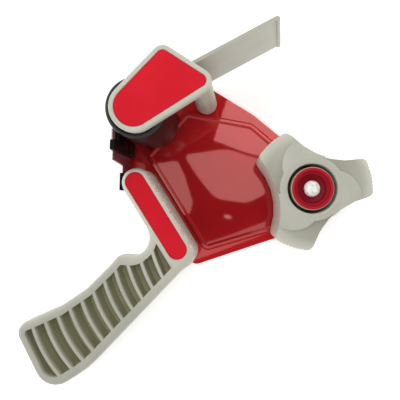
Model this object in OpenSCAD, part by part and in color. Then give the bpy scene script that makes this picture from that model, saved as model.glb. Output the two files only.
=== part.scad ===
// Handheld carton tape dispenser, lying on the outer face of its side plate.
// The origin is where the axis of the tape hub meets the surface it lies on. +Z runs up the hub and
// roller axes, +X runs along the bridge of the handle, and the grip points towards -Y. Millimetres.

/* [Side plate] */
// Thickness of the pressed steel sheet
sheet = 1.2; // [0.8:0.1:2]
// Height of the raised panel's top face above the surface
panel_top = 4.2; // [3.4:0.1:6]
// Height of the stiffening bead above the panel
bead_rise = 1; // [0.4:0.1:2]
// Width of the flat crest of the bead
bead_crest = 1.6; // [0.8:0.1:3]
// Width of each sloping side of the bead
bead_slope = 1.6; // [0.8:0.1:3]
// Radius of the plate's nose round the hub axis
nose_r = 24; // [20:0.5:27]

/* [Roller] */
// Distance of the roller axis beyond the end of the bridge
roller_out = 23.6; // [22.6:0.1:26]
// Height of the roller axis above the bridge's upper side
roller_rise = 18.7; // [18.5:0.1:23]
// Outer radius of the rubber roller
roller_r = 18.4; // [15:0.1:18.6]
// Length of the roller along its axis
roller_len = 51.6; // [40:0.2:60]
// Thickness of the rubber sleeve
rubber_t = 2.6; // [1.5:0.1:4]
// Radius of the roller axle
axle_r = 4; // [3.5:0.1:5]
// Radius of the axle's thinner end, on which the flap turns
pivot_r = 3; // [2.6:0.1:3.3]
// Radius of the axle's collar
collar_r = 7.5; // [6:0.1:8.5]

/* [Tape flap] */
// Thickness of the flap's side cap
cap_t = 6.2; // [5:0.1:9]
// Corner radius of the cap round the axle
cap_axle_r = 14.8; // [12:0.1:17]
// Corner radius of the cap's two far corners
cap_corner_r = 6.8; // [5.4:0.1:8]
// Width of the cap's border round its insert
cap_border = 2.9; // [2:0.1:4]
// Radius of the guide post at its free end
post_r = 7.4; // [6:0.1:8]
// Wall of the hollow guide post
post_wall = 2; // [1.4:0.1:3]
// Length of the tongue's near edge, from its root under the cap to its tip
tongue_len = 77; // [50:0.5:95]
// Width of the tongue along the roller axis
tongue_w = 50; // [20:0.5:50]
// Thickness of the tongue
tongue_t = 2; // [1.2:0.1:3]
// Angle of the tongue from +X
tongue_angle = 86.5; // [75:0.5:95]
// How far the flap swings open, in degrees
flap_open = 40; // [20:1:60]

/* [Tape hub] */
// Radius of the hub over its lobes, for a 76 mm tape core
hub_r = 37.6; // [36:0.1:38]
// Height of the hub's front face
hub_top = 54; // [50:0.5:58]
// Radius of the front bore
bore_r = 15; // [14:0.1:16]
// Wall thickness of the hub
hub_wall = 2.4; // [1.6:0.1:3]
// Direction of the first lobe from +X
lobe_turn = 70; // [60:0.5:80]
// Depth of the finger scoop in each lobe
scoop_depth = 2.6; // [1:0.1:4]
// Height of the sloping lead-in at the tip of each lobe
lead_in = 4; // [2:0.1:6]
// Depth of the front bore's floor below the front face
bore_depth = 30; // [24:0.5:34]
// Radius of the hub stud's plain shaft
stud_r = 4; // [3.5:0.1:4.5]
// Radius of the hub stud's thread
thread_r = 3; // [2.5:0.1:3.3]

/* [Tape brake] */
// Outer radius of the brake knob
knob_r = 13; // [12:0.1:13.6]
// Height of the brake knob
knob_h = 11.3; // [9:0.1:13]
// Radius of the knob's finger recess
recess_r = 11; // [9.5:0.1:11.4]
// Depth of the knob's finger recess
recess_depth = 4.5; // [2:0.1:5.5]
// Width across the flats of the knob's nut
nut_flats = 8.4; // [8:0.1:9.6]
// Height of the knob's domed nut
nut_t = 6; // [5.4:0.1:7]
// Wire radius of the brake spring
brake_wire_r = 0.7; // [0.5:0.05:0.9]
// Turns of the brake spring
brake_turns = 5; // [3:1:6]
// Travel of the knob as it is screwed down
knob_travel = 2; // [1:0.25:2.5]

/* [Handle] */
// Thickness of the handle
handle_t = 30; // [26:0.5:34]
// Width of the bridge
bridge_w = 19.6; // [18:0.1:22]
// Length of the bridge
bridge_len = 75.6; // [66:0.2:82]
// Distance of the bridge's upper side below the hub axis
bridge_drop = 83.2; // [82:0.2:90]
// Length of the grip below the bridge
grip_len = 112; // [95:0.5:130]
// Width of the grip's butt
butt_w = 50.4; // [44:0.2:56]
// Radius of the finger notch under the bridge
notch_r = 13; // [10:0.2:15]
// Rounding of the handle's front edges
edge_r = 3.4; // [1:0.1:4]
// How far the grip's sides draw in towards its back
grip_draw = 6; // [2:0.1:8]
// Wall between the handle's outside and its pockets
grip_wall = 5.2; // [4.4:0.1:6.5]
// Extra width of the wall along the back of the grip
back_wall = 1; // [0.5:0.1:4]
// Distance between the ribs of the grip
rib_pitch = 9.3; // [8:0.1:11]
// Thickness of each rib
rib_t = 2; // [1.6:0.1:3]
// Radius to which the ribs are bowed
rib_bow = 85; // [60:1:150]
// Number of pockets on each side of the grip
pockets = 12; // [8:1:12]
// Thickness of the web between the front and back pockets
web_t = 5; // [3:0.1:8]
// Radius of the ends of the handle's insert
insert_r = 6.5; // [5:0.1:7]
// Distance between the ends of the handle's insert
insert_len = 52.7; // [30:0.1:56]

/* [Cutter] */
// Length of the front flange along its foot
flange_len = 37; // [34:0.2:42]
// Height of the flange behind the blade
flange_h = 45; // [40:0.5:50]
// Height of the blade holder's tab
tab_h = 54; // [50:0.5:56]
// Height of the edge guard beside the bridge
flange_low = 24; // [20:0.5:34]
// Thickness of the blade
blade_t = 0.8; // [0.5:0.05:1.2]
// Width of the blade, teeth included
blade_w = 15.4; // [13:0.2:16]
// Length of the blade along the roller axis
blade_len = 44; // [38:0.5:46]
// Pitch of the blade's teeth
tooth_pitch = 2; // [1.5:0.1:3]
// Thickness of the edge guard over the flange's outer face
guard_t = 0.9; // [0.6:0.1:2]
// Thickness of the blade holder inside the flange
holder_t = 2.4; // [1.8:0.1:2.6]

/* [Fits] */
// Radial clearance of parts that turn on a shaft
run_fit = 0.05; // [0.03:0.01:0.08]
// Gap between faces that move past each other
face_gap = 0.3; // [0.2:0.05:0.5]
// Gap round parts that drop into a recess
drop_gap = 0.2; // [0.1:0.05:0.3]

/* [Hidden] */
$fn = 48;
// Most degrees of arc in one step of a rounded corner
arc_step = 12;
// Overshoot that lets one shape cut cleanly through another
over = 1;

bridge_left = -bridge_len + 2.8;
bridge_top = -bridge_drop;
bridge_low = bridge_top - bridge_w;
bridge_end = [bridge_left + bridge_w / 2, bridge_top - bridge_w / 2];
roller_at = [bridge_left - roller_out, bridge_top + roller_rise];
roller_z = panel_top + bead_rise + 1;
roller_top = roller_z + roller_len;
washer_t = 0.9;
core_r = roller_r - rubber_t;
spring_pocket_r = 12;
spring_pocket_z = roller_top - 8;

cap_z = roller_top + 1.2;
cap_top = cap_z + cap_t;
cap_shift = 1.4;
insert_t = 0.8;
cap_sink = 1.1;
pivot_floor = cap_z + cap_t - cap_sink - 2.3;
pivot_top = pivot_floor + face_gap;
flap_washer_t = 0.5;
flap_head_h = 1.1;
flap_screw_r = 1.6;
far_corner = roller_at + [-22.3, 32.9];
near_corner = roller_at + [15.3, 50.8];
post_at = roller_at + [8.5, 40];
post_top_r = cap_corner_r - 0.4;
tongue_root = roller_at + [-6, 22.5];
tenon = 2;
tongue_top = cap_z - 2;
flap_wire_r = 0.5;
peg_r = 1;
leg_end = [axle_r + 5.5, 0.4, cap_z - flap_wire_r - 0.2];
lip_r = 1.5;
tongue_slant = tongue_w * 0.13;

butt_y = bridge_low - grip_len;
butt_x = -24.8;
notch_x = -21.3;
insert_at = [bridge_left + 9.2, bridge_top - 10];
insert_sink = 1.4;
pocket_depth = (handle_t - web_t) / 2;
rib_x = 5;
grip_mid = 16;
pocket_front = insert_at.y - insert_r - 2.9;
first_rib = pocket_front - rib_pitch * 0.9;

hub_z = panel_top + 3.8;
stud_flange_z = panel_top + 1.9;
stud_flange_r = stud_r * 2.2;
friction_t = 1.6;
bush_r = stud_r + 2;
cup_r = bore_r + hub_wall;
hub_floor = hub_top - bore_depth;
floor_t = 4;
spring_r = 9;
knob_top = hub_top + 1;
knob_z = knob_top - knob_h;
press_t = 1.5;
press_z = knob_z - press_t;
press_r = spring_r + brake_wire_r + 0.5;
thread_z = press_z - knob_travel - 3;
nut_z = knob_top - nut_t - 0.4;
nut_cap = 1;
stud_top = nut_z + nut_t - nut_cap - knob_travel - face_gap;

flange_turn = -33.5;
flange_at = bridge_end + (bridge_w / 2 + drop_gap) * [sin(flange_turn), -cos(flange_turn)];
flange_end = 5.4;
flange_start = flange_end - flange_len;
flange_step = flange_end - 17.4;
flange_edge = flange_low * 0.9;
guard_start = flange_step + 5.6;
bend = sheet / 4;
blade_lip = 2.5;
blade_z = sheet + 1.5 * drop_gap;
blade_screw_s = flange_start + 8;
holder_start = flange_start + 3;
holder_end = holder_start + 10;
clamp_t = sheet + blade_t;
blade_screw_z = [blade_z + 6, blade_z + 24];
blade_screw_r = 1.5;
handle_screw_r = 2;
handle_screw_x = [insert_at.x + 4, insert_at.x + insert_len / 2, insert_at.x + insert_len - 4];
handle_screw_len = 15;

light_grey = [0.73, 0.73, 0.67];
signal_red = [0.72, 0.09, 0.12];
rubber_black = [0.10, 0.10, 0.10];
zinc = [0.80, 0.81, 0.78];

// Outlines with rounded corners

function unit(v) = v / norm(v);
function left_of(v) = [-v.y, v.x];
function turned(v, a) = [v.x * cos(a) - v.y * sin(a), v.x * sin(a) + v.y * cos(a)];

// Points along the arc of one corner [x, y, radius], each with its inward normal
function corner_arc(before, corner, after) =
    let (here = [corner[0], corner[1]],
         d1 = unit(here - [before[0], before[1]]),
         d2 = unit([after[0], after[1]] - here),
         turn = atan2(d1.x * d2.y - d1.y * d2.x, d1 * d2),
         side = turn > 0 ? 1 : -1,
         r = corner[2],
         start = here - d1 * r * tan(abs(turn) / 2),
         centre = start + side * r * left_of(d1),
         steps = max(1, ceil(abs(turn) / arc_step)))
    [for (k = [0:steps]) [centre + turned(-side * r * left_of(d1), turn * k / steps),
                          turned(left_of(d1), turn * k / steps)]];

// The whole outline of a list of corners that runs counter-clockwise
function outline(corners) =
    let (n = len(corners))
    [for (i = [0:n - 1]) each corner_arc(corners[(i + n - 1) % n], corners[i], corners[(i + 1) % n])];

// The same corners moved inwards by w, for walls thicker than the corner's own radius
function inset_corners(corners, w) =
    let (n = len(corners))
    [for (i = [0:n - 1])
        let (before = corners[(i + n - 1) % n],
             here = corners[i],
             after = corners[(i + 1) % n],
             n1 = left_of(unit([here[0] - before[0], here[1] - before[1]])),
             n2 = left_of(unit([after[0] - here[0], after[1] - here[1]])),
             shift = (n1 + n2) * w / (1 + n1 * n2),
             bulges = n1.x * n2.y - n1.y * n2.x > 0)
        [here[0] + shift.x, here[1] + shift.y, bulges ? max(0.8, here[2] - w) : here[2] + w]];

function shrunk(path, inset) = [for (p = path) p[0] + inset * p[1]];

module prism(path, z0, z1, inset = 0) {
    translate([0, 0, z0])
        linear_extrude(z1 - z0)
            polygon(shrunk(path, inset));
}

// A solid through the outline at several levels, each [height, inset]
module loft(path, levels) {
    n = len(path);
    m = len(levels);
    points = [for (l = levels) each [for (q = shrunk(path, l[1])) [q.x, q.y, l[0]]]];
    low_cap = [for (i = [0:n - 1]) i];
    top_cap = [for (i = [n - 1:-1:0]) (m - 1) * n + i];
    sides = [for (k = [0:m - 2], i = [0:n - 1])
                let (j = (i + 1) % n, a = k * n + i, b = a + n, c = k * n + n + j, d = k * n + j)
                each [[a, b, c], [a, c, d]]];
    polyhedron(points, concat([low_cap, top_cap], sides), convexity = 10);
}

// Levels of a body from z0 to z1 whose upper edge is rounded by r
function crowned_levels(z0, z1, r, steps = 4) = concat(
    [[z0, 0]],
    [for (k = [0:steps]) [z1 - r * (1 - sin(90 * k / steps)), r * (1 - cos(90 * k / steps))]]);

// A closed ring of skin through loops of points, each loop the same length, the last joined to the first
module ring_of(loops) {
    m = len(loops);
    n = len(loops[0]);
    faces = [for (k = [0:m - 1], i = [0:n - 1])
                let (l = (k + 1) % m, j = (i + 1) % n)
                each [[k * n + i, k * n + j, l * n + j], [k * n + i, l * n + j, l * n + i]]];
    polyhedron([for (loop = loops) each loop], faces, convexity = 10);
}

// The outline drawn part of the way, by share, towards an inner outline with as many points.
// Shares below nought lie outside it. Along the bridge the share is cut down to "held".
function drawn_in(path, inner, share, z, held = 1) =
    [for (i = [0:len(path) - 1])
        let (down = (bridge_low - path[i][0].y) / bridge_w,
             ease = min(1, max(0, down)),
             part = share * (held + (1 - held) * ease * ease * (3 - 2 * ease)),
             q = path[i][0] + (inner[i][0] - path[i][0]) * part)
        [q.x, q.y, z]];

function outside(path, z) = [for (q = shrunk(path, -over)) [q.x, q.y, z]];

module tube(r_out, r_in, z0, z1) {
    difference() {
        translate([0, 0, z0]) cylinder(r = r_out, h = z1 - z0);
        translate([0, 0, z0 - over]) cylinder(r = r_in, h = z1 - z0 + 2 * over);
    }
}

// A slot with round ends from the origin along X
module round_slot(length, r) {
    circle(r);
    translate([length, 0]) circle(r);
    translate([0, -r]) square([length, 2 * r]);
}

// A round wire of six sides swept along a path that is never upright
module wire(path, r) {
    sides = 6;
    n = len(path);
    rings = [for (i = [0:n - 1])
                let (t = unit(path[min(i + 1, n - 1)] - path[max(i - 1, 0)]),
                     s = unit(cross(t, [0, 0, 1])),
                     u = cross(s, t))
                each [for (k = [0:sides - 1])
                         path[i] + r * (cos(360 * k / sides) * s + sin(360 * k / sides) * u)]];
    low_cap = [for (k = [0:sides - 1]) k];
    top_cap = [for (k = [sides - 1:-1:0]) (n - 1) * sides + k];
    skin = [for (i = [0:n - 2], k = [0:sides - 1])
               let (a = i * sides + k, b = i * sides + (k + 1) % sides)
               each [[a, a + sides, b + sides], [a, b + sides, b]]];
    polyhedron(rings, concat([low_cap, top_cap], skin), convexity = 10);
}

function coil(r, turns, z0, z1) =
    [for (i = [0:8 * turns]) [r * cos(45 * i), r * sin(45 * i), z0 + (z1 - z0) * i / (8 * turns)]];

// Outlines of the pieces

plate_path = outline([
    [roller_at.x - roller_r - 2.4, roller_at.y - 16, 16],
    each [for (s = [flange_start - 1.5, flange_end + 1])
        [flange_at.x + cos(flange_turn) * s + sin(flange_turn) * (sheet - bend),
         flange_at.y + sin(flange_turn) * s - cos(flange_turn) * (sheet - bend), 1]],
    [bridge_end.x + 8, bridge_low + 3, 4],
    [6, bridge_low + 9, 6],
    [36.6, 35.7, nose_r],
    [-64.5, 0.6, 20],
    [roller_at.x - 11, roller_at.y + 43.5, 8]]);

panel_path = outline([
    [roller_at.x + 16, bridge_top + 1.2, 5],
    [1.6, bridge_top + 1.2, 6],
    [30.9, 26.2, nose_r - 5],
    [-59.5, -3.2, 12],
    [roller_at.x + 4, roller_at.y + 25, 5]]);

cap_path = outline([
    [roller_at.x + cap_shift - cap_axle_r * 0.777, roller_at.y - cap_axle_r, cap_axle_r * 0.96],
    [roller_at.x + cap_shift + cap_axle_r * 0.985, roller_at.y - cap_axle_r, cap_axle_r * 0.96],
    [near_corner.x, near_corner.y, cap_corner_r],
    [far_corner.x, far_corner.y, cap_corner_r]]);

handle_corners = [
    [bridge_left, bridge_top, bridge_w / 2 - 0.05],
    [bridge_left, bridge_low, bridge_w / 2 - 0.05],
    [notch_x, bridge_low, notch_r],
    [notch_x, bridge_low - notch_r - 4.4, 9],
    [notch_x - 6.6, bridge_low - notch_r - 13.5, 2.6],
    [-14.8, butt_y + 46, 120],
    [butt_x, butt_y + 2.2, 8],
    [butt_x + butt_w, butt_y - 2.5, 14],
    [butt_x + butt_w - 0.3, butt_y + 30, 60],
    [2.4, bridge_low + 5.6, 18],
    [bridge_left + bridge_len, bridge_top, 10]];
handle_path = outline(handle_corners);
crown_path = outline(inset_corners(handle_corners, edge_r));
back_path = outline(inset_corners(handle_corners, grip_draw));
pocket_path = outline(inset_corners(handle_corners, grip_wall));
back_pocket_path = outline(inset_corners(handle_corners, grip_draw + 2));

hub_path = outline([for (k = [0:2])
    let (a = lobe_turn + 120 * k, tip = hub_r * 1.06, valley = hub_r * 0.37)
    each [[tip * cos(a - 17), tip * sin(a - 17), hub_r * 0.16],
          [tip * cos(a + 17), tip * sin(a + 17), hub_r * 0.16],
          [valley * cos(a + 60), valley * sin(a + 60), hub_r * 1.2]]]);

// Side plate

module in_flange() {
    translate([flange_at.x, flange_at.y, 0])
        rotate([0, 0, flange_turn])
            children();
}

// A flat shape drawn along and up the flange, on its outer side
module on_flange(depth, thickness) {
    in_flange()
        translate([0, -depth, 0])
            rotate([90, 0, 0])
                linear_extrude(thickness)
                    children();
}

module flange_profile() {
    polygon([[flange_start, bend], [flange_end, bend], [flange_end, flange_edge],
             [flange_step + 1, flange_edge], [flange_step - 1, flange_h], [flange_start, flange_h]]);
}

// A hole through the holder, the flange and the blade
module flange_drill(r, s, z) {
    in_flange()
        translate([s, holder_t + over, z])
            rotate([90, 0, 0])
                cylinder(r = r, h = holder_t + clamp_t + 2 * over);
}

module side_plate() {
    bead_in = bead_slope + bead_crest;
    rise = panel_top + bead_rise;
    color(signal_red)
    difference() {
        union() {
            prism(plate_path, 0, sheet);
            loft(panel_path, [[sheet / 2, 0], [sheet, 0], [rise, bead_slope]]);
            on_flange(0, sheet) flange_profile();
        }
        loft(panel_path, [[panel_top, bead_in + bead_slope], [rise + bead_rise, bead_in - bead_slope]]);
        loft(panel_path, [[-over, sheet], [sheet / 2, sheet], [panel_top - sheet, bead_slope + sheet]]);
        translate([0, 0, -over]) cylinder(r = stud_r + drop_gap, h = panel_top + 2 * over);
        translate([roller_at.x, roller_at.y, -over]) cylinder(r = axle_r, h = sheet + 2 * over);
        for (x = handle_screw_x) translate([x, insert_at.y, 0]) screw_seat();
        for (z = blade_screw_z) flange_drill(blade_screw_r + drop_gap, blade_screw_s, z);
    }
}

// The countersunk hole of a handle screw
module screw_seat() {
    translate([0, 0, -over]) cylinder(r = handle_screw_r + drop_gap, h = sheet + 2 * over);
    translate([0, 0, -0.01])
        cylinder(r1 = handle_screw_r * 2 + drop_gap, r2 = handle_screw_r + drop_gap, h = handle_screw_r);
}

// Handle

// The grip's pockets on one side, divided by ribs that bow towards the butt
module grip_pockets(path, z0, z1) {
    difference() {
        intersection() {
            prism(path, z0, z1);
            translate([-back_wall, 0, 0]) prism(path, z0, z1);
            translate([bridge_left, butt_y - bridge_w, z0])
                cube([bridge_len + butt_w, pocket_front - butt_y + bridge_w, z1 - z0]);
        }
        for (k = [1:pockets - 1])
            translate([rib_x, first_rib - (k - 1) * rib_pitch + rib_bow, 0])
                tube(rib_bow + rib_t / 2, rib_bow - rib_t / 2, z0 - over, z1 + over, $fn = 240);
    }
}

// What rounds the front edge all the way round
module front_rounding() {
    steps = 4;
    ring_of(concat(
        [outside(handle_path, handle_t - edge_r)],
        [for (k = [0:steps])
            drawn_in(handle_path, crown_path, 1 - cos(90 * k / steps),
                     handle_t - edge_r * (1 - sin(90 * k / steps)))],
        [drawn_in(handle_path, crown_path, 1, handle_t + over), outside(handle_path, handle_t + over)]));
}

// What draws the grip's sides in towards the back, and gives the bridge a slight draft
module back_rounding() {
    steps = 5;
    held = 0.06;
    ring_of(concat(
        [outside(handle_path, -over), drawn_in(handle_path, back_path, 1, -over, held)],
        [for (k = [0:steps])
            drawn_in(handle_path, back_path, 1 - sin(90 * k / steps),
                     grip_mid * (1 - cos(90 * k / steps)), held)],
        [outside(handle_path, grip_mid)]));
}

module handle() {
    color(light_grey)
    difference() {
        prism(handle_path, 0, handle_t);
        front_rounding();
        back_rounding();
        prism(plate_path, -over, sheet, -drop_gap);
        grip_pockets(pocket_path, handle_t - pocket_depth, handle_t + over);
        grip_pockets(back_pocket_path, -over, pocket_depth);
        translate([insert_at.x, insert_at.y, handle_t - insert_sink])
            linear_extrude(insert_sink + over)
                round_slot(insert_len, insert_r + drop_gap);
        for (x = handle_screw_x)
            translate([x, insert_at.y, -over])
                cylinder(r = handle_screw_r + drop_gap, h = sheet + handle_screw_len + over);
        for (x = handle_screw_x) translate([x, insert_at.y, 0]) screw_seat();
    }
}

module handle_insert() {
    color(signal_red)
    translate([insert_at.x, insert_at.y, handle_t - insert_sink])
        linear_extrude(insert_t)
            round_slot(insert_len, insert_r);
}

module handle_screws() {
    color(zinc)
    for (x = handle_screw_x)
        translate([x, insert_at.y, 0]) {
            translate([0, 0, 0.1])
                cylinder(r1 = handle_screw_r * 2, r2 = handle_screw_r, h = handle_screw_r);
            translate([0, 0, handle_screw_r])
                cylinder(r = handle_screw_r, h = handle_screw_len - handle_screw_r);
        }
}

// Cutter

// A toothed blade on the flange's outer face, its teeth standing clear of the flange's end
module cutter_blade() {
    teeth = floor(blade_len / tooth_pitch);
    edge = flange_start - blade_lip;
    gum = edge + tooth_pitch * 0.8;
    color(zinc)
    difference() {
        on_flange(sheet, blade_t)
            polygon(concat(
                [[edge + blade_w, blade_z], [edge + blade_w, blade_z + blade_len]],
                [for (k = [teeth:-1:0]) each [[gum, blade_z + k * tooth_pitch],
                                              if (k > 0) [edge, blade_z + (k - 0.5) * tooth_pitch]]]));
        for (z = blade_screw_z) flange_drill(blade_screw_r + drop_gap, blade_screw_s, z);
    }
}

// The black moulding that covers the flange's edge beside the grip, with a lip down its outer face
module edge_guard() {
    lap = 3;
    color(rubber_black) {
        on_flange(0, sheet + guard_t)
            polygon([[guard_start, flange_edge + drop_gap], [flange_end, flange_edge + drop_gap],
                     [flange_end, flange_low], [guard_start, flange_low]]);
        on_flange(sheet, guard_t)
            polygon([[guard_start, blade_z + lap], [flange_end, blade_z + lap],
                     [flange_end, flange_edge + lap], [guard_start, flange_edge + lap]]);
    }
}

// The black block inside the flange to which the blade is screwed. Its tab stands above the flange.
module blade_holder() {
    tab_start = holder_start + 4;
    color(rubber_black)
    difference() {
        union() {
            on_flange(-holder_t, holder_t)
                polygon([[holder_start, blade_z + 1], [holder_end, blade_z + 1], [holder_end, tab_h],
                         [tab_start, tab_h], [tab_start, flange_h - 1], [holder_start, flange_h - 1]]);
            on_flange(-holder_t / 2, holder_t / 2 + bend)
                polygon([[tab_start, flange_h + drop_gap], [holder_end, flange_h + drop_gap],
                         [holder_end, tab_h], [tab_start, tab_h]]);
        }
        for (z = blade_screw_z) {
            flange_drill(blade_screw_r + drop_gap, blade_screw_s, z);
            in_flange()
                translate([blade_screw_s, holder_t + 0.01, z])
                    rotate([90, 0, 0])
                        cylinder(r1 = blade_screw_r * 2 + drop_gap, r2 = blade_screw_r + drop_gap,
                                 h = blade_screw_r);
        }
    }
}

// Countersunk screws from inside, through holder, flange and blade
module blade_screws() {
    tail = 3.2;
    color(zinc)
    for (z = blade_screw_z)
        in_flange()
            translate([blade_screw_s, holder_t - 0.1, z])
                rotate([90, 0, 0]) {
                    cylinder(r1 = blade_screw_r * 2, r2 = blade_screw_r, h = blade_screw_r);
                    translate([0, 0, blade_screw_r])
                        cylinder(r = blade_screw_r, h = holder_t + clamp_t + tail - blade_screw_r);
                }
}

module blade_nuts() {
    blade_nut_t = 2.4;
    color(zinc)
    for (z = blade_screw_z)
        in_flange()
            translate([blade_screw_s, -clamp_t, z])
                rotate([90, 0, 0])
                    difference() {
                        cylinder(r = blade_screw_r * 2.1, h = blade_nut_t, $fn = 6);
                        translate([0, 0, -over])
                            cylinder(r = blade_screw_r + run_fit, h = blade_nut_t + 2 * over);
                    }
}

// Roller

module at_roller() {
    translate([roller_at.x, roller_at.y, 0])
        children();
}

module roller_axle() {
    shoulder = cap_z - face_gap;
    collar_top = roller_z - face_gap - washer_t;
    color(zinc)
    at_roller()
        difference() {
            union() {
                translate([0, 0, 0.1]) cylinder(r = axle_r, h = shoulder - 0.1);
                translate([0, 0, sheet]) cylinder(r = collar_r, h = collar_top - sheet);
                translate([0, 0, sheet]) cylinder(r = pivot_r, h = pivot_top - sheet);
            }
            translate([0, 0, pivot_top - 12]) cylinder(r = flap_screw_r, h = 12 + over);
        }
}

module roller_washer() {
    color(zinc)
    at_roller()
        tube(collar_r, axle_r + drop_gap, roller_z - face_gap - washer_t, roller_z - face_gap);
}

module roller_core() {
    hub_out = axle_r + 3;
    rim_in = core_r - 2.4;
    color(rubber_black)
    at_roller()
        difference() {
            translate([0, 0, roller_z]) cylinder(r = core_r, h = roller_len);
            translate([0, 0, roller_z - over]) cylinder(r = axle_r + run_fit, h = roller_len + 2 * over);
            translate([0, 0, spring_pocket_z]) cylinder(r = spring_pocket_r, h = 8 + over);
            for (k = [0:5])
                rotate([0, 0, 60 * k])
                    intersection() {
                        tube(rim_in, hub_out, roller_z - over, spring_pocket_z - 3);
                        translate([0, 0, roller_z - over])
                            linear_extrude(roller_len)
                                polygon([[hub_out / 2, -1], [core_r * 1.2, -core_r * 0.6],
                                         [core_r * 1.2, core_r * 0.6], [hub_out / 2, 1]]);
                    }
        }
}

module roller_sleeve() {
    soft = 1.2;
    color(rubber_black)
    at_roller()
        rotate_extrude()
            polygon([[core_r, roller_z], [roller_r - soft, roller_z], [roller_r, roller_z + soft],
                     [roller_r, roller_top - soft], [roller_r - soft, roller_top], [core_r, roller_top]]);
}

// Tape flap

// The side cap that turns on the axle and carries the post and the tongue
module tape_flap() {
    color(light_grey)
    difference() {
        union() {
            loft(cap_path, crowned_levels(cap_z, cap_top, 1.2));
            at_roller()
                translate([leg_end.x - peg_r / 2, leg_end.y + peg_r + flap_wire_r, cap_z - peg_r])
                    cylinder(r = peg_r, h = 2 * peg_r, $fn = 24);
        }
        at_roller() {
            translate([0, 0, cap_z - over]) cylinder(r = pivot_r + run_fit, h = cap_t + 2 * over);
            translate([0, 0, pivot_floor]) cylinder(r = pivot_r + 3.4, h = cap_t);
        }
        prism(cap_path, cap_top - cap_sink, cap_top + over, cap_border);
        translate([post_at.x, post_at.y, cap_z - over])
            cylinder(r = post_top_r - post_wall + drop_gap, h = tenon + drop_gap + over);
        tongue_root_block(drop_gap, tenon + drop_gap);
    }
}

// A tapered hollow post that the tape runs round, held by a spigot in the cap
module guide_post() {
    spigot_r = post_top_r - post_wall;
    color(light_grey)
    translate([post_at.x, post_at.y, 0])
        difference() {
            union() {
                translate([0, 0, roller_z]) cylinder(r1 = post_r, r2 = post_top_r, h = cap_z - roller_z);
                translate([0, 0, cap_z - over]) cylinder(r = spigot_r, h = tenon + over);
            }
            translate([0, 0, roller_z - over]) cylinder(r = spigot_r, h = (cap_z - roller_z) * 0.8);
        }
}

// The thick root of the tongue, which stands in a slot in the cap
module tongue_root_block(gap, depth) {
    root_t = tongue_t + 1.6;
    root_len = 15;
    translate([tongue_root.x, tongue_root.y, tongue_top - 5])
        rotate([0, 0, tongue_angle])
            translate([-root_t / 2 - gap, -root_t / 2 - gap, 0])
                cube([root_len + 2 * gap, root_t + 2 * gap, cap_z + depth - tongue_top + 5]);
}

// A flat springy strip with a slanting end and a rolled edge along it
module tape_tongue() {
    low = tongue_top - tongue_w;
    lean = atan(tongue_slant / tongue_w);
    color(light_grey) {
        tongue_root_block(0, tenon);
        translate([tongue_root.x, tongue_root.y, 0])
            rotate([0, 0, tongue_angle]) {
                translate([0, tongue_t / 2, 0])
                    rotate([90, 0, 0])
                        linear_extrude(tongue_t)
                            polygon([[0, low], [tongue_len + tongue_slant, low], [tongue_len, tongue_top],
                                     [0, tongue_top]]);
                translate([tongue_len + tongue_slant, -lip_r / 2, low])
                    rotate([0, -lean, 0])
                        cylinder(r = lip_r, h = tongue_w / cos(lean), $fn = 24);
            }
    }
}

module flap_insert() {
    color(signal_red)
    prism(cap_path, cap_top - cap_sink, cap_top - cap_sink + insert_t, cap_border + drop_gap);
}

module flap_washer() {
    color(zinc)
    at_roller()
        tube(pivot_r + 2.4, flap_screw_r + run_fit, pivot_top, pivot_top + flap_washer_t);
}

module flap_screw() {
    z = pivot_top + flap_washer_t;
    color(zinc)
    at_roller() {
        translate([0, 0, z]) cylinder(r = flap_screw_r * 1.8, h = flap_head_h);
        translate([0, 0, z - 9]) cylinder(r = flap_screw_r - 0.1, h = 9);
    }
}

// A torsion spring round the axle, with a leg inwards to the axle and one outwards to the cap's peg
module flap_spring() {
    r = axle_r + 2.5;
    z0 = spring_pocket_z + 1.2;
    color(zinc)
    at_roller()
        wire(concat([[axle_r + flap_wire_r + drop_gap, 0, z0]], coil(r, 3, z0, leg_end.z), [leg_end]),
             flap_wire_r);
    echo(flap_spring_least_gap = (leg_end.z - z0) / 3 - 2 * flap_wire_r);
}

// Tape hub and brake

module hub_stud() {
    color(zinc)
    difference() {
        union() {
            translate([0, 0, 1]) cylinder(r = stud_r + 2.5, h = panel_top - sheet - 1);
            translate([0, 0, 1]) cylinder(r = stud_r, h = thread_z - 1);
            translate([0, 0, panel_top]) cylinder(r = stud_flange_r, h = stud_flange_z - panel_top);
            translate([0, 0, thread_z - over]) cylinder(r = thread_r, h = stud_top - thread_z + over);
        }
        translate([0, 0, stud_top - 0.6])
            tube(thread_r + over, thread_r - 0.5, 0, 0.6 + over);
    }
}

module friction_washer() {
    color([0.55, 0.42, 0.28])
    tube(stud_r * 3 + 2, stud_r + drop_gap, stud_flange_z, stud_flange_z + friction_t);
}

module hub_bush() {
    color([0.86, 0.84, 0.76])
    tube(bush_r, stud_r + run_fit, hub_z, hub_floor);
}

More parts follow.
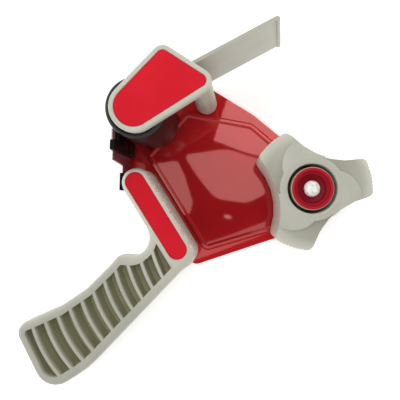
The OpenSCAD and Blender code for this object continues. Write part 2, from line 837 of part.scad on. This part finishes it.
// A scoop in the face of the lobe along X. It is deepest beside the bore, runs out towards the tip,
// and leaves a round plateau on one side of the lobe.
module finger_scoop() {
    boss_r = hub_r * 0.52;
    shallow = [hub_r * 0.77, -hub_r * 0.26];
    deep = [hub_r * 0.45, hub_r * 0.24];
    fall = deep - shallow;
    start = 0.4;
    difference() {
        intersection() {
            translate([shallow.x, shallow.y, hub_top - start])
                rotate([0, atan((scoop_depth - start) / norm(fall)), atan2(fall.y, fall.x)])
                    translate([-2 * hub_r, -2 * hub_r, 0])
                        cube([4 * hub_r, 4 * hub_r, hub_r]);
            translate([0, 0, hub_top - hub_r / 2])
                linear_extrude(hub_r)
                    polygon([[0, 0], 2 * hub_r * [cos(50), -sin(50)], [2.5 * hub_r, 0],
                             2 * hub_r * [cos(57), sin(57)]]);
        }
        translate([hub_r * 0.315, -hub_r * 0.22, 0]) cylinder(r = hub_r * 0.44, h = 2 * hub_top);
        cylinder(r = boss_r, h = 2 * hub_top);
    }
}

// Shallow grooves down the tip of the lobe along X, which grip the tape's core
module tip_grooves() {
    groove_r = 0.7;
    groove_pitch = 3.4;
    for (k = [-3:3])
        rotate([0, 0, k * groove_pitch])
            translate([hub_r + groove_r / 3, 0, hub_z - over])
                cylinder(r = groove_r, h = hub_top, $fn = 16);
}

// The turned cup inside the hub, which runs on the bush and holds the brake
module hub_cup() {
    neck_r = bush_r + hub_wall;
    color(light_grey)
    rotate_extrude($fn = 96)
        polygon([[bush_r, hub_z], [neck_r, hub_z], [neck_r, hub_floor - floor_t],
                 [cup_r, hub_floor - floor_t], [cup_r, hub_top], [bore_r, hub_top], [bore_r, hub_floor],
                 [bush_r, hub_floor]]);
}

// The lobed shell that the tape's core is pushed over, pressed on to the cup
module tape_hub() {
    color(light_grey)
    difference() {
        intersection() {
            prism(hub_path, hub_z, hub_top);
            rotate_extrude($fn = 96)
                polygon([[0, hub_z], [hub_r - 1, hub_z], [hub_r, hub_z + 1], [hub_r, hub_top - lead_in],
                         [hub_r - lead_in * 1.3, hub_top], [0, hub_top]]);
        }
        difference() {
            intersection() {
                prism(hub_path, hub_z - over, hub_top - scoop_depth - hub_wall, hub_wall);
                translate([0, 0, hub_z - over]) cylinder(r = hub_r - 2 * hub_wall, h = hub_top - hub_z);
            }
            translate([0, 0, hub_floor]) cylinder(r = cup_r + hub_wall, h = hub_top);
        }
        translate([0, 0, hub_z - over]) cylinder(r = cup_r + run_fit, h = hub_top);
        for (k = [0:2])
            rotate([0, 0, lobe_turn + 120 * k]) {
                finger_scoop();
                tip_grooves();
            }
    }
}

module brake_spring() {
    color(zinc)
    wire(coil(spring_r, brake_turns, hub_floor + brake_wire_r, press_z - brake_wire_r), brake_wire_r);
    pitch = (press_z - hub_floor - 2 * brake_wire_r) / brake_turns;
    echo(brake_spring_least_gap = pitch - 2 * brake_wire_r);
}

module pressure_washer() {
    color(zinc)
    tube(press_r, thread_r + drop_gap, press_z, press_z + press_t);
}

module brake_knob() {
    floor_z = knob_top - recess_depth;
    step_z = knob_top - recess_depth * 0.55;
    color(signal_red)
    difference() {
        rotate_extrude()
            polygon([[0, knob_z], [knob_r - 1, knob_z], [knob_r, knob_z + 1], [knob_r, knob_top - 0.8],
                     [knob_r - 0.8, knob_top], [recess_r, knob_top], [recess_r - 0.7, step_z],
                     [recess_r - 2, step_z - 0.4], [recess_r - 2.8, floor_z], [0, floor_z]]);
        translate([0, 0, nut_z])
            cylinder(r = nut_flats / 2 / cos(30) + drop_gap, h = nut_t + over, $fn = 6);
        translate([0, 0, knob_z - over]) cylinder(r = thread_r + 3 * drop_gap, h = knob_h + 2 * over);
    }
}

// A hexagon nut under a round dome, its blind hole deep enough for the knob's travel
module knob_nut() {
    nut_r = nut_flats / 2 / cos(30);
    dome_r = nut_r + 0.1;
    hex_h = nut_t * 0.45;
    color(zinc)
    translate([0, 0, nut_z])
        difference() {
            union() {
                cylinder(r = nut_r, h = hex_h + 0.4, $fn = 6);
                rotate_extrude()
                    polygon(concat([[0, hex_h]],
                                   [for (a = [0:15:90])
                                       [dome_r * cos(a), hex_h + (nut_t - hex_h) * sin(a)]]));
            }
            translate([0, 0, -over]) cylinder(r = thread_r + run_fit, h = nut_t - nut_cap + over);
        }
}

side_plate();
handle();
handle_insert();
handle_screws();
cutter_blade();
edge_guard();
blade_holder();
blade_screws();
blade_nuts();
roller_axle();
roller_washer();
roller_core();
roller_sleeve();
tape_flap();
guide_post();
tape_tongue();
flap_insert();
flap_washer();
flap_screw();
flap_spring();
hub_stud();
friction_washer();
hub_bush();
hub_cup();
tape_hub();
brake_spring();
pressure_washer();
brake_knob();
knob_nut();
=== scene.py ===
"""Handheld carton tape dispenser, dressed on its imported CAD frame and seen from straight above."""

import math

import bmesh
import bpy
from mathutils import Matrix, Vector
from mathutils.bvhtree import BVHTree


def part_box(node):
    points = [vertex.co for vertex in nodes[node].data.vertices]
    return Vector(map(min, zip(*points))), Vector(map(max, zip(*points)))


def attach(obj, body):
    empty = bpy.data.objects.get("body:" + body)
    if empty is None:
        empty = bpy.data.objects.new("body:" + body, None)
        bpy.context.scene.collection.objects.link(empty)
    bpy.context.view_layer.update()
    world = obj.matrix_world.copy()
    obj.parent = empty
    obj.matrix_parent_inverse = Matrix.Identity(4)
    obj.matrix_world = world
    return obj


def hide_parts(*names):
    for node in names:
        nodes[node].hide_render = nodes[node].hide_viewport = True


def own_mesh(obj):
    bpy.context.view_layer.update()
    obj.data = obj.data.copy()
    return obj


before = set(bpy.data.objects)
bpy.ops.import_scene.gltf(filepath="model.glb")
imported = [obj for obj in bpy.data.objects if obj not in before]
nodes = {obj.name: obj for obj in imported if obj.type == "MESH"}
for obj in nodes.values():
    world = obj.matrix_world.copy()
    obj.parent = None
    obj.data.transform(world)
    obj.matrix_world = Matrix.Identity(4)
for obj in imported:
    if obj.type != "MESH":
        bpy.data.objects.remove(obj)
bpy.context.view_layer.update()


# Side plate: one pressed steel sheet with a raised panel, a bead round it and a flange bent up at the front.
# It is stoved in a deep, glossy red enamel that lies in slow waves. It is painted brighter towards its top
# edge and on its flat margin, a painted light.
# Its flange is painted a dark maroon, a painted shadow and dark reflection of the roller. It carries all the
# other pieces.
class Sock:
    """A shader socket on which plain arithmetic adds Math nodes."""

    def __init__(self, tree, socket=None):
        self.tree = tree
        self.socket = socket

    def node(self, kind, settings=None, inputs=None, output=0):
        """Any new node, with its settings made first and then the values or links of its inputs."""
        made = self.tree.nodes.new(kind)
        for name, value in (settings or {}).items():
            if name == "stops":
                ramp = made.color_ramp
                while len(ramp.elements) < len(value):
                    ramp.elements.new(0.5)
                for stop, (place, colour) in zip(ramp.elements, value):
                    stop.position = place
                    stop.color = (*colour, 1.0)
            else:
                setattr(made, name, value)
        for key, value in (inputs or {}).items():
            if isinstance(value, Sock):
                self.tree.links.new(value.socket, made.inputs[key])
            else:
                made.inputs[key].default_value = value
        return Sock(self.tree, made.outputs[output])

    def math(self, operation, *values):
        return self.node("ShaderNodeMath", {"operation": operation}, dict(enumerate(values)))

    def __add__(self, other):
        return self.math("ADD", self, other)

    def __sub__(self, other):
        return self.math("SUBTRACT", self, other)

    def __rsub__(self, other):
        return self.math("SUBTRACT", other, self)

    def __mul__(self, other):
        return self.math("MULTIPLY", self, other)

    def __gt__(self, other):
        return self.math("GREATER_THAN", self, other)

    def __lt__(self, other):
        return self.math("LESS_THAN", self, other)

    def __abs__(self):
        return self.math("ABSOLUTE", self)

    def larger(self, other):
        return self.math("MAXIMUM", self, other)

    __radd__ = __add__
    __rmul__ = __mul__


class Finish:
    """A named material with one Principled shader that reads Object coordinates."""

    def __init__(self, name, **constants):
        self.material = bpy.data.materials.new(name)
        self.material.use_nodes = True
        self.tree = self.material.node_tree
        self.shader = self.tree.nodes["Principled BSDF"]
        for socket, value in constants.items():
            self.shader.inputs[socket.replace("_", " ")].default_value = value
        self.place = Sock(self.tree).node("ShaderNodeTexCoord", output="Object")

    def along(self, axis, kind="Object"):
        """One axis of the place on the piece, or of its outward direction."""
        source = self.place.node("ShaderNodeTexCoord", output=kind)
        return source.node("ShaderNodeSeparateXYZ", None, {0: source}, "XYZ".index(axis))

    def noise(self, scale, detail=3.0, roughness=0.55):
        sizes = {"Vector": self.place, "Scale": scale, "Detail": detail, "Roughness": roughness}
        return self.place.node("ShaderNodeTexNoise", None, sizes)

    def ramp(self, value, *stops):
        return self.place.node("ShaderNodeValToRGB", {"stops": stops}, {"Fac": value})

    def mix(self, factor, first, second):
        """A blend of two colours, each of which is a socket or a plain triple."""
        first, second = (c if isinstance(c, Sock) else (*c, 1.0) for c in (first, second))
        return self.place.node("ShaderNodeMix", {"data_type": "RGBA"}, {0: factor, 6: first, 7: second}, 2)

    def mottle(self, scale, low, high, start=0.3, end=0.7):
        """A base colour in patches of two tones. The noise that places them is handed back."""
        patches = self.noise(scale)
        self.shade = self.ramp(patches, (start, low), (end, high))
        self.feed("Base Color", self.shade)
        return patches

    def bump(self, height, strength, distance):
        heights = {"Height": height, "Strength": strength, "Distance": distance}
        self.feed("Normal", self.place.node("ShaderNodeBump", None, heights))

    def feed(self, socket, value):
        self.tree.links.new(value.socket, self.shader.inputs[socket])

    def coat_on(self, name):
        """Coats a CAD node with this finish and no other."""
        mesh = nodes[name].data
        mesh.materials.clear()
        mesh.materials.append(self.material)


enamel = Finish("red_enamel", Roughness=0.035, IOR=1.6, Specular_Tint=(1.0, 0.46, 0.43, 1.0))
margin_top = 0.0022
flange_foot = 0.006
enamel.mottle(22.0, (0.375, 0.009, 0.012), (0.435, 0.012, 0.016), end=0.75)
# Painted light: the red is painted brighter towards the plate's top edge and on its flat margin.
painted_light_towards_top = 0.57 + 22.0 * (0.93 * enamel.along("Y") - 0.37 * enamel.along("X"))
painted_light_mask = painted_light_towards_top.larger(enamel.along("Z") < margin_top)
plate_red = enamel.mix(painted_light_mask, enamel.shade, (0.58, 0.016, 0.020))
# Painted shade: the flange above its foot is painted dark maroon, for the roller's shadow and dark
# reflection.
enamel.feed("Base Color", enamel.mix(enamel.along("Z") > flange_foot, plate_red, (0.18, 0.060, 0.066)))
enamel.bump(enamel.noise(14.0, 1.0), 0.35, 0.0012)
enamel.coat_on("side_plate")


# Handle: the bridge and the ribbed grip, one moulding of warm grey plastic with softly broken edges.
# It is painted paler round the bridge and towards it, a painted light; the bridge's flank has a grain left by
# spark erosion, tinted with a painted reflection of the red plate, and the grip's pockets are painted a
# darker olive, a painted shade.
# Three countersunk screws from behind hold it to the plate.
def softened(name, body, finish, width, segments=2, where=None):
    """A copy of a CAD node with its sharp edges rounded over, shown in place of the node."""
    flat, sharp, crease = (math.radians(degrees) for degrees in (1.5, 35, 32))
    work = bmesh.new()
    work.from_mesh(nodes[name].data)
    bmesh.ops.remove_doubles(work, verts=work.verts, dist=0.000002)
    bmesh.ops.dissolve_limit(work, angle_limit=flat, verts=work.verts, edges=work.edges)
    edges = [e for e in work.edges if len(e.link_faces) == 2 and e.calc_face_angle() > sharp]
    if where:
        edges = [e for e in edges if all(where(v.co) for v in e.verts)]
    if width:
        bmesh.ops.bevel(work, geom=edges, offset=width, offset_type="OFFSET", affect="EDGES",
                        segments=segments, profile=0.5, material=-1, clamp_overlap=True)
    for face in work.faces:
        face.smooth = True
    for edge in work.edges:
        edge.smooth = len(edge.link_faces) != 2 or edge.calc_face_angle() < crease
    data = bpy.data.meshes.new(name + "_rounded")
    work.to_mesh(data)
    work.free()
    data.materials.append(finish.material)
    piece = bpy.data.objects.new(name + "_rounded", data)
    bpy.context.collection.objects.link(piece)
    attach(piece, body)
    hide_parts(name)
    return piece


def moulded(name):
    """Plastic with the faint sparkle of a moulded skin, still without a colour."""
    made = Finish(name, Roughness=0.42, IOR=1.46)
    made.bump(made.noise(1500.0, 2.0), 0.12, 0.0002)
    return made


def moulded_grey(name, level):
    """The same plastic in a warm grey that is cloudy by a few parts in a hundred."""
    made = moulded(name)
    warm = (0.99, 0.995, 0.835)
    made.mottle(60.0, *([level * share * tone for tone in warm] for share in (0.96, 1.04)))
    return made


handle_grey = moulded_grey("handle_grey", 0.445)
# Painted light: the bridge is painted paler, most of all at its far end, and the grip grows paler towards it.
painted_light_blade_end = -14.0 * handle_grey.along("X")
painted_light_bridge_grey = handle_grey.mix(painted_light_blade_end, (0.55, 0.535, 0.45), (0.70, 0.67, 0.57))
painted_light_towards_bridge = 25.0 * (handle_grey.along("Y") + 0.14)
plain = handle_grey.mix(painted_light_towards_bridge, handle_grey.shade, painted_light_bridge_grey)
# The flank's grain is the moulding's own texture; its reddish tint is a painted reflection of the red plate.
grain = handle_grey.noise(800.0, 2.0)
grain_and_painted_reflection = handle_grey.ramp(grain, (0.38, (0.43, 0.37, 0.30)), (0.5, (0.60, 0.54, 0.45)),
                          (0.62, (0.76, 0.70, 0.61)))
flank = handle_grey.along("Y", "Normal") > 0.6
handle_grey.feed("Base Color", handle_grey.mix(flank, plain, grain_and_painted_reflection))

pocket_painted_shade = moulded("pocket_painted_shade")
# Painted shade: the pockets are painted a darker olive than the handle, darkest in a band high on their
# walls, for the shade in the recesses.
web_height = 0.015
towards_rim = 67.0 * abs(pocket_painted_shade.along("Z") - web_height)
pocket_painted_shade.feed("Base Color", pocket_painted_shade.ramp(
    towards_rim, (0.18, (0.49, 0.48, 0.29)), (0.24, (0.48, 0.47, 0.30)), (0.45, (0.45, 0.44, 0.28)),
    (0.72, (0.28, 0.27, 0.18)), (1.0, (0.44, 0.43, 0.34))))

skin = softened("handle", "frame", handle_grey, 0.0006).data
skin.materials.append(pocket_painted_shade.material)
walls = BVHTree.FromPolygons([v.co for v in skin.vertices], [p.vertices for p in skin.polygons])
pockets_start = -0.101
back_rim, front_rim = 0.001, 0.0292
reach = 0.06
# Faces in the pockets' recesses, which ray casts find among the walls, take the painted shade.
for face in skin.polygons:
    if face.center.y > pockets_start or not back_rim < face.center.z < front_rim:
        continue
    in_shade = abs(face.normal.z) > 0.9
    start = face.center + face.normal * 0.0001
    facing, _, _, gap = walls.ray_cast(start, face.normal, reach)
    if facing and not in_shade:
        middle = start + face.normal * gap / 2
        aside = face.normal.cross((0, 0, 1))
        in_shade = all(walls.ray_cast(middle, way, reach)[0] for way in (aside, -aside))
    if in_shade:
        face.material_index = 1

# Handle insert: a bare red plate with round ends, satin plastic.
# It is glued into a shallow recess in the bridge.
insert_red = Finish("insert_red", Roughness=0.5, IOR=1.4, Specular_IOR_Level=0.15)
insert_red.mottle(40.0, (0.66, 0.010, 0.022), (0.72, 0.012, 0.028))
insert_red.coat_on("handle_insert")

# Handle screws: three countersunk screws driven through the plate from behind.
# They are steel with a bright zinc plating.
zinc = Finish("bright_zinc", Metallic=1.0, IOR=1.5)
worn = zinc.mottle(250.0, (0.66, 0.66, 0.63), (0.78, 0.78, 0.75))
zinc.feed("Roughness", 0.2 + 0.15 * worn)
zinc.coat_on("handle_screws")

# Cutter blade: a strip of hardened steel, ground and toothed along its front edge.
# It lies on the outer face of the flange, and its teeth stand clear of the flange's end.
blade_steel = Finish("blade_steel", Metallic=1.0, IOR=1.5)
ground = blade_steel.mottle(600.0, (0.52, 0.52, 0.53), (0.66, 0.66, 0.66))
blade_steel.feed("Roughness", 0.25 + 0.2 * ground)
blade_steel.coat_on("cutter_blade")

# Edge guard: a black moulding pushed over the flange's edge beside the grip.
# It keeps the fingers off the raw sheet.
black = Finish("black_plastic", IOR=1.46, Specular_IOR_Level=0.12)
flecks = black.mottle(300.0, (0.005, 0.003, 0.003), (0.010, 0.007, 0.007))
black.feed("Roughness", 0.3 + 0.2 * flecks)
softened("edge_guard", "frame", black, 0.0003)

# Blade holder: the black block inside the flange to which the blade is screwed.
# It is the same black moulding as the guard, and its tab stands above the flange.
# Its black fills the flange where the roller's shadow and dark reflection fall: a dark piece standing in for
# shade.
softened("blade_holder", "frame", black, 0.0003)

# Blade screws: two countersunk steel screws, chemically blackened.
# They are driven from inside, their heads flush in the holder.
blackened = Finish("blackened_steel", Metallic=0.8, IOR=1.5)
oxide = blackened.mottle(400.0, (0.02, 0.02, 0.022), (0.05, 0.05, 0.052))
blackened.feed("Roughness", 0.35 + 0.2 * oxide)
blackened.coat_on("blade_screws")

# Blade nuts: two hexagon nuts of the same blackened steel.
# They clamp the blade on the outside of the flange.
softened("blade_nuts", "frame", blackened, 0.0002)

# Roller axle: a turned steel pin riveted into the plate, with a collar and a thinner end for the flap.
# It is zinc plated like the screws.
zinc.coat_on("roller_axle")

# Roller washer: a thin zinc-plated ring between the axle's collar and the roller.
# It is loose on the axle.
zinc.coat_on("roller_washer")

# Roller core: a black moulded drum with six hollows that turns on the axle.
# The pocket in its upper end takes the flap's spring.
black.coat_on("roller_core")

# Roller sleeve: a smooth black rubber tube stretched over the core.
# Its ends are broken by a small bevel, and it shines enough to mirror the red plate.
rubber = Finish("roller_rubber", IOR=1.5, Specular_IOR_Level=0.4)
scuffs = rubber.mottle(400.0, (0.010, 0.008, 0.008), (0.018, 0.015, 0.015))
rubber.feed("Roughness", 0.24 + 0.12 * scuffs)
softened("roller_sleeve", "roller", rubber, 0.0005)

# Tape flap: the side cap that turns on the axle's end, with a crowned edge and a recess for its insert.
# It is moulded in a slightly paler batch of the handle's warm grey.
cap_grey = moulded_grey("cap_grey", 0.57)
softened("tape_flap", "flap", cap_grey, 0.0004)

# Guide post: a tapered hollow grey post that the tape runs round.
# A spigot at its upper end is pressed into the cap.
grey = moulded_grey("warm_grey_plastic", 0.48)
softened("guide_post", "flap", grey, 0.0006)

# Tape tongue: a flat springy grey strip with a slanting end and a rolled edge along it.
# Its thick root stands in a slot in the cap.
softened("tape_tongue", "flap", grey, 0.0004)

# Flap insert: a bare red plate of the same satin plastic as the handle's.
# It is glued into the recess in the cap.
insert_red.coat_on("flap_insert")

# Flap washer: a zinc-plated ring over the thinner end of the axle.
# It holds the cap down and leaves it free to turn.
zinc.coat_on("flap_washer")

# Flap screw: a zinc-plated cheese-head screw in the end of the axle.
# The insert covers its head.
zinc.coat_on("flap_screw")

# Flap spring: an oiled wire coil round the axle, inside the roller.
# It turns the flap back towards the roller.
spring_wire = Finish("spring_wire", Metallic=1.0, IOR=1.5)
drawn = spring_wire.mottle(500.0, (0.36, 0.36, 0.35), (0.48, 0.48, 0.46))
spring_wire.feed("Roughness", 0.25 + 0.15 * drawn)
spring_wire.coat_on("flap_spring")

# Hub stud: a threaded steel stud riveted through the panel, with a flange under the friction washer.
# It is zinc plated.
zinc.coat_on("hub_stud")

# Friction washer: a brown fibre disc between the stud's flange and the hub.
# The brake presses the hub down on it.
fibre = Finish("brown_fibre", IOR=1.45)
strands = fibre.mottle(700.0, (0.20, 0.11, 0.05), (0.32, 0.20, 0.10))
fibre.feed("Roughness", 0.7 + 0.2 * strands)
fibre.coat_on("friction_washer")

# Hub bush: a natural-coloured plastic sleeve pressed into the cup.
# It runs on the stud.
bush_plastic = Finish("bush_plastic", Roughness=0.35, IOR=1.48)
bush_plastic.mottle(120.0, (0.66, 0.64, 0.55), (0.72, 0.70, 0.62))
bush_plastic.coat_on("hub_bush")

# Hub cup: the turned grey cup in the middle of the hub, which holds the brake.
# Its rim lies flush with the hub's face and is rounded on the inside.
rim_middle = 0.016
softened("hub_cup", "hub", grey, 0.0009, 3, lambda p: p.xy.length < rim_middle)


# Tape hub: the three-lobed grey shell that the tape's core is pushed over, pressed on to the cup.
# Grooves down its tips grip the core. Its tips are painted paler, a painted highlight, and its scoops are
# painted darker with depth, a painted shade.
def from_axis(finish):
    """The square of the distance from the hub's axis, which is the frame's own Z."""
    x, y = finish.along("X"), finish.along("Y")
    return x * x + y * y


hub_grey = moulded_grey("hub_grey", 0.48)
hub_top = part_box("tape_hub")[1][2]
# Painted shade: the scoops' upper faces are painted darker the deeper they lie.
scoop_painted_shade = 385.0 * (hub_top - hub_grey.along("Z")) * (hub_grey.along("Z", "Normal") > 0.5)
scoop_shaded_grey = hub_grey.mix(scoop_painted_shade, hub_grey.shade, (0.37, 0.36, 0.285))
# Painted highlight: the lobes' tips are painted paler outside a set radius.
tips_start = 0.0303
tip_painted_light = 2200.0 * (from_axis(hub_grey) - tips_start ** 2)
hub_grey.feed("Base Color", hub_grey.mix(tip_painted_light, scoop_shaded_grey, (0.60, 0.595, 0.51)))
scoops_low, scoops_start, scoops_end = 0.049, 0.0185, 0.0355
softened("tape_hub", "hub", hub_grey, 0.0022, 4,
         lambda p: p.z > scoops_low and scoops_start < p.xy.length < scoops_end)

# Brake spring: an oiled wire coil standing on the floor of the cup.
# It is squeezed as the knob is screwed down, by as much as the pressure washer slides.
coil = softened("brake_spring", "hub", spring_wire, 0)
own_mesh(coil)

# Pressure washer: a zinc-plated disc on top of the spring.
# The knob pushes it down.
zinc.coat_on("pressure_washer")

# Brake knob: a moulded cup with a stepped finger recess, its deep red face shot into a thin grey skirt.
# It is turned by the fingers to set the drag on the tape.
knob_red = Finish("knob_red", Roughness=0.35, IOR=1.48, Specular_IOR_Level=0.12)
knob_red.mottle(80.0, (0.42, 0.008, 0.02), (0.48, 0.011, 0.027))
knob_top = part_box("brake_knob")[1][2]
# Painted shade: the knob's recess is painted darker the deeper it lies below the top.
recess_painted_shade = 250.0 * (knob_top - knob_red.along("Z"))
knob_face = knob_red.mix(recess_painted_shade, knob_red.shade, (0.24, 0.003, 0.012))
face_radius = 0.0126
skirt = from_axis(knob_red) > face_radius ** 2
knob_red.feed("Base Color", knob_red.mix(skirt, knob_face, (0.47, 0.42, 0.32)))
softened("brake_knob", "knob", knob_red, 0.0005)

# Knob nut: a domed zinc-plated hexagon nut sunk in the knob, painted pale and speckled as a painted highlight
# of the lamps on its plating.
# It screws down the stud's thread and takes the knob with it.
zinc_painted_highlight = Finish("zinc_painted_highlight", Roughness=0.4, IOR=1.5)
# Painted highlight: the nut's pale, speckled base colour stands for the lamps' shine on its plating.
zinc_painted_highlight.mottle(500.0, (0.62, 0.63, 0.56), (0.97, 0.98, 0.91), 0.35, 0.55)
zinc_painted_highlight.bump(zinc_painted_highlight.noise(900.0), 0.5, 0.0003)
softened("knob_nut", "knob", zinc_painted_highlight, 0.0003)

# Floor: a plain pale sweep under the dispenser.
# It glows faintly so that the shadows stay light.
sweep = bmesh.new()
under = Matrix.Translation((0, 0, -0.0002))
bmesh.ops.create_grid(sweep, x_segments=1, y_segments=1, size=3.0, matrix=under)
floor_data = bpy.data.meshes.new("floor")
sweep.to_mesh(floor_data)
sweep.free()
floor = bpy.data.objects.new("floor", floor_data)
bpy.context.collection.objects.link(floor)
pale_floor = Finish("pale_floor", Base_Color=(0.95, 0.95, 0.95, 1.0), Roughness=0.9,
                    Emission_Color=(1.0, 1.0, 1.0, 1.0), Emission_Strength=0.35)
floor_data.materials.append(pale_floor.material)

# Camera: straight above, turned so that the grip points down and to the left.
# The shift keeps the lens square to the floor.
camera_data = bpy.data.cameras.new("camera")
camera_data.sensor_width = 36.0
camera_data.lens = 36.6
camera_data.shift_x = -0.0875
camera_data.clip_start = 0.01
camera = bpy.data.objects.new("camera", camera_data)
camera.location = (-0.0187, -0.0433, 0.298)
camera.rotation_euler = (0, 0, math.radians(58.3))
bpy.context.collection.objects.link(camera)
bpy.context.scene.camera = camera

# Studio light: a white surround that is dark overhead and brighter on one side, and soft boxes above.
# Each box hangs where its reflection falls on the plate in the photo.
scene = bpy.context.scene
scene.view_settings.view_transform = "Standard"
world = bpy.data.worlds.new("studio")
world.use_nodes = True
scene.world = world
sky = world.node_tree
background = sky.nodes["Background"]
direction = Sock(sky).node("ShaderNodeTexCoord", output="Generated")
across, height = (direction.node("ShaderNodeSeparateXYZ", None, {0: direction}, axis) for axis in (0, 2))
white, dim, dark = ((level, level, level) for level in (1.0, 0.03, 0.02))
surround = direction.node("ShaderNodeValToRGB",
                          {"stops": [(0.0, white), (0.78, white), (0.88, dim), (1.0, dark)]}, {"Fac": height})
sky.links.new(surround.socket, background.inputs["Color"])
sky.links.new((1.15 - 0.3 * across).socket, background.inputs["Strength"])
box_height = 0.6


def soft_box(name, shape, at, size, turn, radiance):
    """An overhead box facing down, as bright all over as radiance says."""
    lamp = bpy.data.lights.new(name, "AREA")
    lamp.shape = shape
    lamp.size, lamp.size_y = size
    area = size[0] * size[1] * (math.pi / 4 if shape == "ELLIPSE" else 1)
    lamp.energy = radiance * math.pi * area
    holder = bpy.data.objects.new(name, lamp)
    holder.location = (*at, box_height)
    holder.rotation_euler = (0, 0, math.radians(turn))
    bpy.context.collection.objects.link(holder)


def shaped_box(name, corners, rounding, radiance):
    """A soft box of any outline at the same height, which the camera itself does not see."""
    work = bmesh.new()
    outline = [work.verts.new((x, y, box_height)) for x, y in corners]
    work.faces.new(outline)
    bmesh.ops.bevel(work, geom=outline, offset=rounding, affect="VERTICES", segments=6, profile=0.5,
                    material=-1)
    data = bpy.data.meshes.new(name)
    work.to_mesh(data)
    work.free()
    glow = Finish(name, Base_Color=(0, 0, 0, 1), Emission_Color=(1, 1, 1, 1), Emission_Strength=radiance)
    data.materials.append(glow.material)
    box = bpy.data.objects.new(name, data)
    box.visible_camera = False
    bpy.context.collection.objects.link(box)


shaped_box("middle_box", [(-0.163, -0.085), (-0.118, 0.008), (-0.062, 0.056), (0.003, 0.026),
                          (0.001, -0.028), (-0.041, -0.082)], 0.016, 3.9)
shaped_box("bridge_box", [(-0.180, -0.158), (-0.158, -0.105), (-0.122, -0.109), (-0.060, -0.125),
                          (-0.040, -0.145), (-0.053, -0.172)], 0.006, 3.4)
soft_box("upper_box", "RECTANGLE", (-0.1325, 0.075), (0.15, 0.11), 41, 5.0)
soft_box("low_box", "RECTANGLE", (0.055, -0.0768), (0.26, 0.030), 77, 2.6)
soft_box("glint", "ELLIPSE", (0.002, -0.079), (0.017, 0.006), 46, 6.0)
